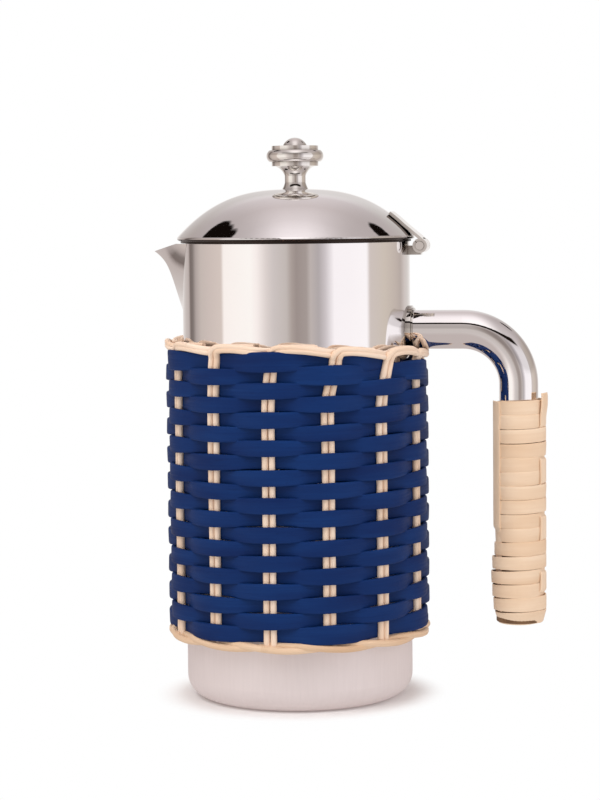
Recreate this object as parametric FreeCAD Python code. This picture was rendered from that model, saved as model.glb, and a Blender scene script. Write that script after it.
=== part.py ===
import FreeCAD, Part

import math
import os

# Stovetop coffee percolator in a woven cane sleeve, in millimetres, +Z up.
# The origin is the centre of the flat base. The handle points along +X and the spout along -X.
# The bodies are the pot with its handle and sleeve, the hinged lid, the pump, the basket and
# the basket's cover. Each function below builds one piece and main() writes one STEP for each.

# Pot
POT_R = 50.0                # outside radius
POT_HEIGHT = 200.0          # base to rim
POT_WALL = 0.8
FLOOR_THICK = 1.2
BASE_CORNER_R = 9.5         # outside rounding between base and wall

# Spout, a bent V lip let into the wall
SPOUT_REACH = 13.5          # tip beyond the wall
SPOUT_TIP_DROP = 3.5        # tip below the rim
SPOUT_DEPTH = 33.0          # rim down to the foot of the keel
SPOUT_HALF_ANGLE = 26.0     # half the width at the rim, in degrees round the pot
SPOUT_WALL = 0.9
SPOUT_NOSE_R = 2.4          # outside rounding along the keel
SPOUT_STRAIGHT_SHARE = 0.68  # part of the reach that grows evenly with height
SPOUT_LIP_POWER = 8         # how late the rest of the reach flares out
SPOUT_WIDTH_POWER = 0.6     # how fast the width opens above the foot
SPOUT_STATIONS = (0.03, 0.25, 0.5, 0.72, 0.88, 1.0, 1.16)
SPOUT_INSET = 2.5           # how far the section lines run on into the pot

# Lid
LID_OVERHANG = 2.15         # rolled edge past the pot wall
LID_BEAD_R = 1.0            # half the thickness of the rolled edge
LID_BEAD_LIFT = 2.1         # middle of the rolled edge above the rim
DOME_RISE = 20.5            # crown above the top of the rolled edge
DOME_POWER = 2.8            # how flat the crown is
DOME_WALL = 0.9
DOME_STATIONS = 9
LID_SEAT_GAP = 0.15         # lid collar over the rim
LID_COLLAR_CLEAR = 0.8      # lid collar inside the mouth
LID_COLLAR_DEPTH = 7.5
LID_COLLAR_WALL = 0.7
LID_COLLAR_STEP = 0.6       # how far the collar's step reaches past the pot wall

# Hinge
HINGE_STANDOFF = 5.4        # pin axis from the pot wall
HINGE_DROP = 1.8            # pin axis below the rim
PIN_R = 1.8
PIN_CLEAR = 0.05            # running fit of the leaf on its pin
LEAF_THICK = 1.3
LEAF_WIDTH = 15.0
LEAF_REACH = 13.5           # leaf's upper end inboard of the pin axis
LEAF_CONTACT = 6.0          # length of the leaf that follows the dome
LEAF_SLIT = 0.35            # slit where the rolled knuckle closes
BRACKET_WIDTH = 6.4
BRACKET_DROP = 4.0          # foot of the bracket below the pin axis
KNUCKLE_GAP = 0.35          # bracket knuckle to leaf knuckles
PIN_HEAD = 0.6              # pin stands out at each end

# Knob, a turned profile given as radius and height above its seat
KNOB_HEIGHT = 22.4
KNOB_BASE_R = 5.7
KNOB_NECK_R = 4.6
KNOB_NECK_TOP = 5.7
KNOB_CUP_R = 9.0
KNOB_CUP_TOP = 10.0
KNOB_TIER_R = 10.2
KNOB_TIER_H = 1.9
KNOB_BULGE_R = 12.5
KNOB_BULGE_H = 5.0
KNOB_BULGE_SIDE = 1.25      # how far the bulge swells past its own edges
KNOB_BUTTON_R = 5.2
KNOB_BUTTON_H = 3.3
KNOB_FLARE_DIP = 0.12       # hollow of the base flare
KNOB_CUP_SHARE = (0.33, 0.6)  # middle of the cup's hollow, as shares of its width and height
SCREW_R = 2.0
SCREW_CLEAR = 0.05
SCREW_GRIP = 8.0            # screw length inside the knob
SCREW_HEAD_R = 3.8
SCREW_HEAD_H = 2.0
SCREW_SLOT_W = 1.0
SCREW_SLOT_H = 0.9
WASHER_R = 6.0
WASHER_THICK = 0.8

# Handle, a tube bent once, with a free lower end
HANDLE_DROP = 38.5          # axis of the level leg below the rim
HANDLE_STANDOFF = 47.5      # axis of the upright leg from the pot wall
HANDLE_TUBE_R = 8.5
HANDLE_TUBE_WALL = 1.2
HANDLE_BEND_R = 24.0
HANDLE_END_Z = 33.5
HANDLE_PLUG_THICK = 2.0
PLUG_CLEAR = 0.05
COLLAR_WALL = 2.0           # root collar over the tube, wide step
COLLAR_PROUD = 1.3          # wide step past the pot wall
COLLAR_STEP_WALL = 1.0      # root collar over the tube, narrow step
COLLAR_STEP_PROUD = 2.2     # narrow step past the pot wall

# Grip, cane peel bound round the upright leg
GRIP_END_COVER = 1.5        # binding past the tube's lower end
GRIP_BARE = 5.7             # bare tube between the bend and the binding
GRIP_THICK = 3.4            # binding over the tube, at the crown of a turn
GRIP_CROWN = 0.7            # crown of a turn above the valleys between turns
GRIP_TURNS = 13
GRIP_CLEAR = 0.1            # binding over the tube
STRIP_WIDTH = 6.5
STRIP_THICK = 1.0
INNER_STRIP_LENGTH = 56.8
OUTER_STRIP_LENGTH = 33.8
OUTER_STRIP_TAIL = 2.8      # how far the outer strip stands above the binding

# Sleeve, cane weaver over pairs of stakes between two twisted rims
STAKE_PAIRS = 13
STAKE_R = 1.5
STAKE_STANDOFF = 4.6        # middle of the stakes from the pot wall
STAKE_PAIR_GAP = 0.1        # between the two stakes of a pair
STAKE_PHASE = -11.4         # first pair from the handle, in degrees
WEAVER_ROWS = 20
WEAVER_CLEAR = 0.1          # weaver over the stakes
WEAVER_THICK = 2.6
WEAVER_CROWN = 0.9          # crown of a row above the valleys between rows
RIM_ROPE_R = 2.1
BOTTOM_RIM_Z = 30.2
TOP_RIM_DROP = 44.0         # middle of the top rim below the pot's rim
RIM_DIP_SPREAD = 16.3       # half-width of the dip under the handle, in degrees
RIM_DIP_CLEAR = 0.35        # top rim under the handle tube
RIM_DIP_SPAN = 75.0         # half the length of rope that takes up the dip, in degrees
RIM_STATIONS = 20
SLEEVE_JOINT_GAP = 0.1      # weaver and stakes to the rims
NOTCH_HALF_WIDTH = 30.0     # half the width of the hollow that the dipping rim leaves in the weaver

# Pump
STEM_R = 4.0
STEM_WALL = 0.7
STEM_TOP_BELOW_RIM = 6.0
FOOT_CLEAR = 15.2           # foot inside the pot wall
FOOT_RISE = 11.0
FOOT_WALL = 0.8
FOOT_LIP_H = 2.0            # upright lip that the foot stands on
FOOT_HUB_WALL = 1.2
FOOT_HUB_H = 6.0
FOOT_HOLES = 6
FOOT_HOLE_R = 2.2
SEAT_GAP = 0.3              # loose pieces over what they rest on
STOP_R = 7.5                # collar on the stem that carries the basket
STOP_H = 2.5

# Basket and its cover
BASKET_CLEAR = 5.2          # basket inside the pot wall
BASKET_WALL = 0.7
BASKET_DROP = 36.0          # basket's rim below the pot's rim
BASKET_HEIGHT = 56.0
BASKET_RIM_R = 0.9          # rolled rim
SLEEVE_CLEAR = 0.4          # basket's middle tube over the stem
MIDDLE_TUBE_WALL = 0.7
MIDDLE_TUBE_PROUD = 3.0     # middle tube above the basket's rim
HOLE_R = 0.9
HOLE_RING_STEP = 6.5
HOLE_SPACING = 7.0
HOLE_MARGIN = 4.0           # holes to the rim of their plate
COVER_THICK = 0.7
COVER_LIP_H = 3.0
COVER_GUIDE_DEPTH = 2.5     # ring that centres the cover in the basket
COVER_GUIDE_CLEAR = 0.5

# Derived sizes
POT_INSIDE_R = POT_R - POT_WALL
EIGHTH_TURN = math.sqrt(0.5)  # sine and cosine of 45 degrees
LID_R = POT_R + LID_OVERHANG
BEAD_Z = POT_HEIGHT + LID_BEAD_LIFT
BEAD_CENTRE_R = LID_R - LID_BEAD_R
DOME_EDGE_R = BEAD_CENTRE_R + LID_BEAD_R * EIGHTH_TURN
DOME_EDGE_Z = BEAD_Z + LID_BEAD_R * EIGHTH_TURN
DOME_TOP_Z = DOME_EDGE_Z + DOME_RISE
HINGE_X = POT_R + HINGE_STANDOFF
HINGE_Z = POT_HEIGHT - HINGE_DROP
KNUCKLE_BORE_R = PIN_R + PIN_CLEAR
KNUCKLE_R = KNUCKLE_BORE_R + LEAF_THICK
HANDLE_Z = POT_HEIGHT - HANDLE_DROP
HANDLE_X = POT_R + HANDLE_STANDOFF
BEND_LOW_Z = HANDLE_Z - HANDLE_BEND_R
COLLAR_R = HANDLE_TUBE_R + COLLAR_WALL
COLLAR_STEP_R = HANDLE_TUBE_R + COLLAR_STEP_WALL
GRIP_R = HANDLE_TUBE_R + GRIP_THICK
GRIP_LOW_Z = HANDLE_END_Z - GRIP_END_COVER
GRIP_HIGH_Z = BEND_LOW_Z - GRIP_BARE
STEM_TOP_Z = POT_HEIGHT - STEM_TOP_BELOW_RIM
FOOT_R = POT_INSIDE_R - FOOT_CLEAR
FOOT_LOW_Z = FLOOR_THICK + SEAT_GAP
MIDDLE_TUBE_BORE_R = STEM_R + SLEEVE_CLEAR
MIDDLE_TUBE_R = MIDDLE_TUBE_BORE_R + MIDDLE_TUBE_WALL
BASKET_R = POT_INSIDE_R - BASKET_CLEAR
BASKET_TOP_Z = POT_HEIGHT - BASKET_DROP
BASKET_LOW_Z = BASKET_TOP_Z - BASKET_HEIGHT
COVER_LOW_Z = BASKET_TOP_Z + BASKET_RIM_R + SEAT_GAP
COVER_R = BASKET_R + BASKET_RIM_R
STAKE_CIRCLE_R = POT_R + STAKE_STANDOFF
TOP_RIM_Z = POT_HEIGHT - TOP_RIM_DROP
WEAVER_IN_R = STAKE_CIRCLE_R + STAKE_R + WEAVER_CLEAR
WEAVER_OUT_R = WEAVER_IN_R + WEAVER_THICK
RIM_CIRCLE_R = STAKE_CIRCLE_R + STAKE_R
WEAVER_LOW_Z = BOTTOM_RIM_Z + RIM_ROPE_R + SLEEVE_JOINT_GAP
WEAVER_HIGH_Z = TOP_RIM_Z - RIM_ROPE_R - SLEEVE_JOINT_GAP
RIM_DIP = TOP_RIM_Z + RIM_ROPE_R + RIM_DIP_CLEAR - (HANDLE_Z - HANDLE_TUBE_R)

Z_AXIS = FreeCAD.Vector(0, 0, 1)
X_AXIS = FreeCAD.Vector(1, 0, 0)
Y_AXIS = FreeCAD.Vector(0, 1, 0)
ORIGIN = FreeCAD.Vector(0, 0, 0)
FAR = 4 * POT_R             # longer than any cut needs


def vec(x, y, z):
    return FreeCAD.Vector(x, y, z)


def cylinder(radius, low, high):
    """Upright cylinder on the pot's axis."""
    return Part.makeCylinder(radius, high - low, vec(0, 0, low))


def tube(outer, inner, low, high):
    """Upright tube on the pot's axis."""
    return cylinder(outer, low, high).cut(cylinder(inner, low, high))


def polygon_face(points):
    return Part.Face(Part.makePolygon(list(points) + [points[0]]))


def turned(points):
    """Solid of revolution about the pot's axis from a closed (radius, height) outline."""
    return polygon_face([vec(r, 0, z) for r, z in points]).revolve(ORIGIN, Z_AXIS, 360)


def dome_height(radius, drop=0.0):
    """Height of the dome's outer face, or of a face that far below it."""
    return DOME_EDGE_Z + DOME_RISE * (1 - (radius / DOME_EDGE_R) ** DOME_POWER) - drop


def dome_slope(radius):
    return -DOME_RISE * DOME_POWER / DOME_EDGE_R * (radius / DOME_EDGE_R) ** (DOME_POWER - 1)


def dome_curve(low_r, high_r, drop=0.0, offset=0.0):
    """Smooth curve along the dome's section, moved down by drop or out along its normal by offset."""
    points = []
    for i in range(DOME_STATIONS):
        radius = low_r + (high_r - low_r) * i / (DOME_STATIONS - 1)
        angle = math.atan(dome_slope(radius))
        x = radius - offset * math.sin(angle)
        z = dome_height(radius, drop) + offset * math.cos(angle)
        points.append(vec(x, 0, z))
    curve = Part.BSplineCurve()
    curve.interpolate(Points=points)
    return curve.toShape(), points


def pot_outside():
    """Everything inside the pot's outer face, with the rounded foot."""
    corner = vec(POT_R - BASE_CORNER_R, 0, BASE_CORNER_R)
    middle = corner + vec(BASE_CORNER_R * EIGHTH_TURN, 0, -BASE_CORNER_R * EIGHTH_TURN)
    foot = vec(POT_R - BASE_CORNER_R, 0, 0)
    side = vec(POT_R, 0, BASE_CORNER_R)
    rim = vec(POT_R, 0, POT_HEIGHT)
    rim_middle = vec(0, 0, POT_HEIGHT)
    edges = [
        Part.makeLine(ORIGIN, foot),
        Part.Arc(foot, middle, side).toShape(),
        Part.makeLine(side, rim),
        Part.makeLine(rim, rim_middle),
        Part.makeLine(rim_middle, ORIGIN),
    ]
    return Part.Face(Part.Wire(edges)).revolve(ORIGIN, Z_AXIS, 360)


def pot_inside():
    """The pot's hollow, run on past the rim."""
    inner_corner = BASE_CORNER_R - POT_WALL
    centre = vec(POT_R - BASE_CORNER_R, 0, FLOOR_THICK + inner_corner)
    middle = centre + vec(inner_corner * EIGHTH_TURN, 0, -inner_corner * EIGHTH_TURN)
    low = vec(0, 0, FLOOR_THICK)
    foot = vec(centre.x, 0, FLOOR_THICK)
    side = vec(POT_INSIDE_R, 0, centre.z)
    top = vec(POT_INSIDE_R, 0, POT_HEIGHT + POT_WALL)
    top_middle = vec(0, 0, top.z)
    edges = [
        Part.makeLine(low, foot),
        Part.Arc(foot, middle, side).toShape(),
        Part.makeLine(side, top),
        Part.makeLine(top, top_middle),
        Part.makeLine(top_middle, low),
    ]
    return Part.Face(Part.Wire(edges)).revolve(ORIGIN, Z_AXIS, 360)


def spout_section(station, offset):
    """One level section of the spout; station runs from 0 at its foot to 1 at its tip."""
    height = POT_HEIGHT - SPOUT_DEPTH + station * (SPOUT_DEPTH - SPOUT_TIP_DROP)
    flare = SPOUT_STRAIGHT_SHARE * station + (1 - SPOUT_STRAIGHT_SHARE) * station ** SPOUT_LIP_POWER
    keel = POT_R + SPOUT_REACH * flare
    angle = math.radians(SPOUT_HALF_ANGLE * station ** SPOUT_WIDTH_POWER)
    crease = vec(-POT_R * math.cos(angle), POT_R * math.sin(angle), 0)
    nose = vec(SPOUT_NOSE_R - keel, 0, 0)
    # The side runs from the crease to where it touches the rounded nose.
    to_nose = nose - crease
    turn = math.asin(min(1.0, SPOUT_NOSE_R / to_nose.Length))
    heading = math.atan2(to_nose.y, to_nose.x) - turn
    along = vec(math.cos(heading), math.sin(heading), 0)
    outward = vec(along.y, -along.x, 0)
    if outward.x > 0:
        outward = -outward
    back = crease - along * SPOUT_INSET - outward * offset
    radius = SPOUT_NOSE_R - offset
    touch = nose + outward * radius
    tip = nose + vec(-radius, 0, 0)
    lift = vec(0, 0, height)
    mirrored = [vec(p.x, -p.y, 0) for p in (touch, back)]
    edges = [
        Part.makeLine(back + lift, touch + lift),
        Part.Arc(touch + lift, tip + lift, mirrored[0] + lift).toShape(),
        Part.makeLine(mirrored[0] + lift, mirrored[1] + lift),
        Part.makeLine(mirrored[1] + lift, back + lift),
    ]
    return Part.Wire(edges)


def spout_block(offset):
    """Solid spout, drawn in from its outer faces by offset."""
    return Part.makeLoft([spout_section(s, offset) for s in SPOUT_STATIONS], True, False)


def pot_shell():
    return pot_outside().cut(pot_inside()).cut(spout_block(SPOUT_WALL))


def spout():
    """V spout outside the wall, its edge sloping down from the rim to the tip."""
    lip = spout_block(0.0).cut(spout_block(SPOUT_WALL)).cut(cylinder(POT_R, 0, FAR))
    slope = SPOUT_TIP_DROP / SPOUT_REACH
    above = polygon_face([
        vec(0, -POT_R, POT_HEIGHT + slope * POT_R),
        vec(-FAR, -POT_R, POT_HEIGHT - slope * (FAR - POT_R)),
        vec(-FAR, -POT_R, FAR + POT_HEIGHT),
        vec(0, -POT_R, FAR + POT_HEIGHT),
    ]).extrude(Y_AXIS * 2 * POT_R)
    level = Part.makeBox(FAR, 2 * POT_R, FAR, vec(-FAR, -POT_R, POT_HEIGHT))
    return lip.cut(above).cut(level)


def lid_dome():
    """Domed lid with a rolled edge and a hole for the knob's screw."""
    outer, outer_points = dome_curve(0.0, DOME_EDGE_R)
    inner, inner_points = dome_curve(0.0, BEAD_CENTRE_R, DOME_WALL)
    edges = [
        outer,
        Part.makeLine(outer_points[-1], inner_points[-1]),
        inner,
        Part.makeLine(inner_points[0], outer_points[0]),
    ]
    shell = Part.Face(Part.Wire(Part.__sortEdges__(edges))).revolve(ORIGIN, Z_AXIS, 360)
    bead = Part.makeTorus(BEAD_CENTRE_R, LID_BEAD_R, vec(0, 0, BEAD_Z))
    hole = cylinder(SCREW_R + SCREW_CLEAR, BEAD_Z, DOME_TOP_Z + POT_WALL)
    return shell.fuse(bead).cut(hole)


def lid_collar():
    """Ring under the lid: down into the mouth, out over the rim and up into the rolled edge."""
    outside = POT_INSIDE_R - LID_COLLAR_CLEAR
    step = POT_R + LID_COLLAR_STEP
    low = POT_HEIGHT - LID_COLLAR_DEPTH
    seat = POT_HEIGHT + LID_SEAT_GAP
    ring = turned([
        (outside - LID_COLLAR_WALL, low),
        (outside, low),
        (outside, seat),
        (step, seat),
        (step, BEAD_Z),
        (step - LID_COLLAR_WALL, BEAD_Z),
        (step - LID_COLLAR_WALL, seat + LID_COLLAR_WALL),
        (outside - LID_COLLAR_WALL, seat + LID_COLLAR_WALL),
    ])
    return ring.cut(lid_dome())


def across(shape_face, low_y, high_y):
    """Extrude a face drawn in the XZ plane from low_y to high_y."""
    face = shape_face.copy()
    face.translate(vec(0, low_y, 0))
    return face.extrude(vec(0, high_y - low_y, 0))


def hinge_rod(radius, low_y, high_y):
    """Solid rod on the hinge's axis."""
    return Part.makeCylinder(radius, high_y - low_y, vec(HINGE_X, low_y, HINGE_Z), Y_AXIS)


def hinge_leaf():
    """Strap that lies along the dome and rolls round the pin at its lower end."""
    start_r = HINGE_X - LEAF_REACH
    leave_r = start_r + LEAF_CONTACT
    under, under_points = dome_curve(start_r, leave_r)
    over, over_points = dome_curve(start_r, leave_r, offset=LEAF_THICK)
    leave = under_points[-1]
    pin = vec(HINGE_X, 0, HINGE_Z)
    to_pin = pin - leave
    heading = math.atan2(to_pin.z, to_pin.x) + math.asin(KNUCKLE_BORE_R / to_pin.Length)
    along = vec(math.cos(heading), 0, math.sin(heading))
    outward = vec(-along.z, 0, along.x)
    inner_touch = pin + outward * KNUCKLE_BORE_R
    outer_touch = pin + outward * KNUCKLE_R
    edges = [
        under,
        Part.makeLine(leave, inner_touch),
        Part.makeLine(inner_touch, outer_touch),
        Part.makeLine(outer_touch, over_points[-1]),
        over,
        Part.makeLine(over_points[0], under_points[0]),
    ]
    half = LEAF_WIDTH / 2
    strap = across(Part.Face(Part.Wire(Part.__sortEdges__(edges))), -half, half)
    leaf = strap.fuse(hinge_rod(KNUCKLE_R, -half, half)).cut(hinge_rod(KNUCKLE_BORE_R, -half, half))
    free = BRACKET_WIDTH / 2 + KNUCKLE_GAP
    leaf = leaf.cut(hinge_rod(KNUCKLE_R + KNUCKLE_GAP, -free, free))
    slit = Part.makeBox(KNUCKLE_R * 2, LEAF_WIDTH, LEAF_SLIT, vec(-KNUCKLE_R * 2, -half, 0))
    slit.rotate(ORIGIN, Y_AXIS, -math.degrees(heading))
    slit.translate(pin)
    return leaf.cut(slit)


def hinge_bracket():
    """Knuckle on a short arm that stands off the pot wall."""
    half = BRACKET_WIDTH / 2
    knuckle = hinge_rod(KNUCKLE_R, -half, half)
    arm = Part.makeBox(HINGE_STANDOFF + POT_WALL, BRACKET_WIDTH, BRACKET_DROP,
                       vec(POT_INSIDE_R, -half, HINGE_Z - BRACKET_DROP))
    bracket = knuckle.fuse(arm).cut(cylinder(POT_R, 0, FAR))
    return bracket.cut(hinge_rod(PIN_R, -half, half)).removeSplitter()


def hinge_pin():
    reach = LEAF_WIDTH / 2 + PIN_HEAD
    return hinge_rod(PIN_R, -reach, reach)


def knob():
    """Turned knob: flared base, neck, cup, two thin tiers round a bulge, and a domed button."""
    seat = DOME_TOP_Z
    cup_top = seat + KNOB_CUP_TOP
    low_tier_top = cup_top + KNOB_TIER_H
    bulge_middle = low_tier_top + KNOB_BULGE_H / 2
    bulge_top = low_tier_top + KNOB_BULGE_H
    high_tier_top = bulge_top + KNOB_TIER_H
    button_low = seat + KNOB_HEIGHT - KNOB_BUTTON_H
    top = seat + KNOB_HEIGHT

    def at(radius, height):
        return vec(radius, 0, height)

    neck_low = seat + KNOB_NECK_TOP / 2
    neck_top = seat + KNOB_NECK_TOP
    cup_middle_r = KNOB_NECK_R + (KNOB_CUP_R - KNOB_NECK_R) * KNOB_CUP_SHARE[0]
    cup_middle_z = neck_top + (cup_top - neck_top) * KNOB_CUP_SHARE[1]
    bulge_rim = KNOB_BULGE_R - KNOB_BULGE_SIDE
    # The button is a cap of a ball whose middle lies on the axis.
    ball_r = (KNOB_BUTTON_R ** 2 + KNOB_BUTTON_H ** 2) / (2 * KNOB_BUTTON_H)
    half_span = math.asin(KNOB_BUTTON_R / ball_r) / 2
    edges = [
        Part.makeLine(at(0, seat), at(KNOB_BASE_R, seat)),
        Part.Arc(at(KNOB_BASE_R, seat),
                 at((KNOB_BASE_R + KNOB_NECK_R) / 2 - KNOB_FLARE_DIP, (seat + neck_low) / 2),
                 at(KNOB_NECK_R, neck_low)).toShape(),
        Part.makeLine(at(KNOB_NECK_R, neck_low), at(KNOB_NECK_R, neck_top)),
        Part.Arc(at(KNOB_NECK_R, neck_top), at(cup_middle_r, cup_middle_z),
                 at(KNOB_CUP_R, cup_top)).toShape(),
        Part.makeLine(at(KNOB_CUP_R, cup_top), at(KNOB_TIER_R, cup_top)),
        Part.makeLine(at(KNOB_TIER_R, cup_top), at(KNOB_TIER_R, low_tier_top)),
        Part.makeLine(at(KNOB_TIER_R, low_tier_top), at(bulge_rim, low_tier_top)),
        Part.Arc(at(bulge_rim, low_tier_top), at(KNOB_BULGE_R, bulge_middle),
                 at(bulge_rim, bulge_top)).toShape(),
        Part.makeLine(at(bulge_rim, bulge_top), at(KNOB_TIER_R, bulge_top)),
        Part.makeLine(at(KNOB_TIER_R, bulge_top), at(KNOB_TIER_R, high_tier_top)),
        Part.makeLine(at(KNOB_TIER_R, high_tier_top), at(KNOB_BUTTON_R, button_low)),
        Part.Arc(at(KNOB_BUTTON_R, button_low),
                 at(ball_r * math.sin(half_span), top - ball_r * (1 - math.cos(half_span))),
                 at(0, top)).toShape(),
        Part.makeLine(at(0, top), at(0, seat)),
    ]
    body = Part.Face(Part.Wire(edges)).revolve(ORIGIN, Z_AXIS, 360)
    return body.cut(cylinder(SCREW_R, seat, seat + SCREW_GRIP + SCREW_CLEAR))


def washer_top():
    """Height where the flat washer meets the dome's curved inner face."""
    return dome_height(WASHER_R, DOME_WALL)


def knob_washer():
    return tube(WASHER_R, SCREW_R + SCREW_CLEAR, washer_top() - WASHER_THICK, washer_top())


def knob_screw():
    """Slotted screw up through the washer and the dome into the knob."""
    head_top = washer_top() - WASHER_THICK
    head = cylinder(SCREW_HEAD_R, head_top - SCREW_HEAD_H, head_top)
    shank = cylinder(SCREW_R, head_top, DOME_TOP_Z + SCREW_GRIP)
    slot = Part.makeBox(2 * SCREW_HEAD_R, SCREW_SLOT_W, SCREW_SLOT_H,
                        vec(-SCREW_HEAD_R, -SCREW_SLOT_W / 2, head_top - SCREW_HEAD_H))
    return head.fuse(shank).cut(slot).removeSplitter()


def handle_path():
    """Middle line of the handle: level leg, quarter bend, upright leg down to the free end."""
    bend_start = vec(HANDLE_X - HANDLE_BEND_R, 0, HANDLE_Z)
    bend_end = vec(HANDLE_X, 0, BEND_LOW_Z)
    offset = HANDLE_BEND_R * EIGHTH_TURN
    bend_middle = vec(bend_start.x + offset, 0, bend_end.z + offset)
    return Part.Wire([
        Part.makeLine(vec(POT_INSIDE_R - HANDLE_TUBE_R, 0, HANDLE_Z), bend_start),
        Part.Arc(bend_start, bend_middle, bend_end).toShape(),
        Part.makeLine(bend_end, vec(HANDLE_X, 0, HANDLE_END_Z)),
    ])


def handle_rod(radius):
    start = vec(POT_INSIDE_R - HANDLE_TUBE_R, 0, HANDLE_Z)
    section = Part.Wire(Part.makeCircle(radius, start, X_AXIS))
    return handle_path().makePipeShell([section], True, False)


def handle_tube():
    """Bent tube, its end cut to lie on the pot wall."""
    hollow = handle_rod(HANDLE_TUBE_R).cut(handle_rod(HANDLE_TUBE_R - HANDLE_TUBE_WALL))
    return hollow.cut(cylinder(POT_R, 0, FAR))


def handle_plug():
    """Disc that closes the handle's lower end."""
    radius = HANDLE_TUBE_R - HANDLE_TUBE_WALL - PLUG_CLEAR
    return Part.makeCylinder(radius, HANDLE_PLUG_THICK, vec(HANDLE_X, 0, HANDLE_END_Z))


def level_rod(radius, high_x):
    """Rod round the handle's level leg, from the pot's axis out to high_x."""
    return Part.makeCylinder(radius, high_x, vec(0, 0, HANDLE_Z), X_AXIS)


def handle_collar():
    """Stepped ring where the handle meets the pot."""
    ring = level_rod(COLLAR_R, POT_R + COLLAR_PROUD)
    ring = ring.fuse(level_rod(COLLAR_STEP_R, POT_R + COLLAR_STEP_PROUD))
    return ring.cut(level_rod(HANDLE_TUBE_R, FAR)).cut(cylinder(POT_R, 0, FAR)).removeSplitter()


def ribbed_tube(inner, valley, crown, low, high, rows):
    """Tube on the pot's axis with one rounded rib for each row."""
    pitch = (high - low) / rows
    edges = []
    for row in range(rows):
        start = low + row * pitch
        edges.append(Part.Arc(vec(valley, 0, start), vec(crown, 0, start + pitch / 2),
                              vec(valley, 0, start + pitch)).toShape())
    edges.append(Part.makeLine(vec(valley, 0, high), vec(inner, 0, high)))
    edges.append(Part.makeLine(vec(inner, 0, high), vec(inner, 0, low)))
    edges.append(Part.makeLine(vec(inner, 0, low), vec(valley, 0, low)))
    return Part.Face(Part.Wire(edges)).revolve(ORIGIN, Z_AXIS, 360)


def grip_wrap():
    """Binding of flat cane peel round the upright leg, turn on turn."""
    wrap = ribbed_tube(HANDLE_TUBE_R + GRIP_CLEAR, GRIP_R - GRIP_CROWN, GRIP_R,
                       GRIP_LOW_Z, GRIP_HIGH_Z, GRIP_TURNS)
    wrap.translate(vec(HANDLE_X, 0, 0))
    return wrap


def grip_strip(side, length, high):
    """Flat cane strip along the outside of the binding; side is -1 towards the pot, 1 away."""
    near = HANDLE_X + side * GRIP_R
    start = near if side > 0 else near - STRIP_THICK
    return Part.makeBox(STRIP_THICK, STRIP_WIDTH, length, vec(start, -STRIP_WIDTH / 2, high - length))


def grip_inner_strip():
    return grip_strip(-1, INNER_STRIP_LENGTH, GRIP_HIGH_Z)


def grip_outer_strip():
    return grip_strip(1, OUTER_STRIP_LENGTH + OUTER_STRIP_TAIL, GRIP_HIGH_Z + OUTER_STRIP_TAIL)


def rim_height(angle):
    """Height of the top rim's middle at an angle from the handle, in degrees."""
    away = (angle + 180) % 360 - 180
    return TOP_RIM_Z - RIM_DIP * math.exp(-(away / RIM_DIP_SPREAD) ** 2)


def stake_angles():
    """Angle of each stake from the handle, in degrees, two for each pair."""
    half = math.degrees((STAKE_R + STAKE_PAIR_GAP / 2) / STAKE_CIRCLE_R)
    for pair in range(STAKE_PAIRS):
        middle = STAKE_PHASE + 360 * pair / STAKE_PAIRS
        yield middle - half
        yield middle + half


def sleeve_stakes():
    """Upright canes in pairs between the two rims."""
    stakes = []
    low = BOTTOM_RIM_Z + RIM_ROPE_R + SLEEVE_JOINT_GAP
    for angle in stake_angles():
        high = rim_height(angle) - RIM_ROPE_R - 2 * SLEEVE_JOINT_GAP - STAKE_R * RIM_DIP / RIM_DIP_SPREAD
        turn = math.radians(angle)
        foot = vec(STAKE_CIRCLE_R * math.cos(turn), STAKE_CIRCLE_R * math.sin(turn), low)
        stakes.append(Part.makeCylinder(STAKE_R, high - low, foot))
    return Part.makeCompound(stakes)


def sleeve_weaver():
    """Rows of the flat weaver as one ribbed wall, lowered where the top rim dips under the handle."""
    wall = ribbed_tube(WEAVER_IN_R, WEAVER_OUT_R - WEAVER_CROWN, WEAVER_OUT_R,
                       WEAVER_LOW_Z, WEAVER_HIGH_Z, WEAVER_ROWS)
    depth = RIM_DIP + SLEEVE_JOINT_GAP
    radius = (NOTCH_HALF_WIDTH ** 2 + depth ** 2) / (2 * depth)
    centre = vec(0, 0, WEAVER_HIGH_Z - depth + radius)
    return wall.cut(Part.makeCylinder(radius, FAR, centre, X_AXIS))


def sleeve_bottom_rim():
    return Part.makeTorus(RIM_CIRCLE_R, RIM_ROPE_R, vec(0, 0, BOTTOM_RIM_Z))


def rim_point(angle):
    turn = math.radians(angle)
    return vec(RIM_CIRCLE_R * math.cos(turn), RIM_CIRCLE_R * math.sin(turn), rim_height(angle))


def sleeve_top_rim():
    """Rim rope in two spliced lengths: a level one, and one that dips under the handle."""
    first = -RIM_DIP_SPAN
    step = 2 * RIM_DIP_SPAN / RIM_STATIONS
    points = [rim_point(first + i * step) for i in range(RIM_STATIONS + 1)]
    curve = Part.BSplineCurve()
    curve.interpolate(Points=points)
    start = curve.tangent(curve.FirstParameter)[0]
    section = Part.Wire(Part.makeCircle(RIM_ROPE_R, points[0], start))
    dipping = Part.Wire(curve.toShape()).makePipeShell([section], True, False)
    level = Part.makeTorus(RIM_CIRCLE_R, RIM_ROPE_R, vec(0, 0, TOP_RIM_Z), Z_AXIS,
                           0, 360, 360 - 2 * RIM_DIP_SPAN)
    level.rotate(ORIGIN, Z_AXIS, RIM_DIP_SPAN)
    return Part.makeCompound([dipping, level])


def pump_tube():
    """Open tube that the boiling water rises through."""
    low = FOOT_LOW_Z + FOOT_RISE - FOOT_HUB_H / 2
    return tube(STEM_R, STEM_R - STEM_WALL, low, STEM_TOP_Z)


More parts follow.
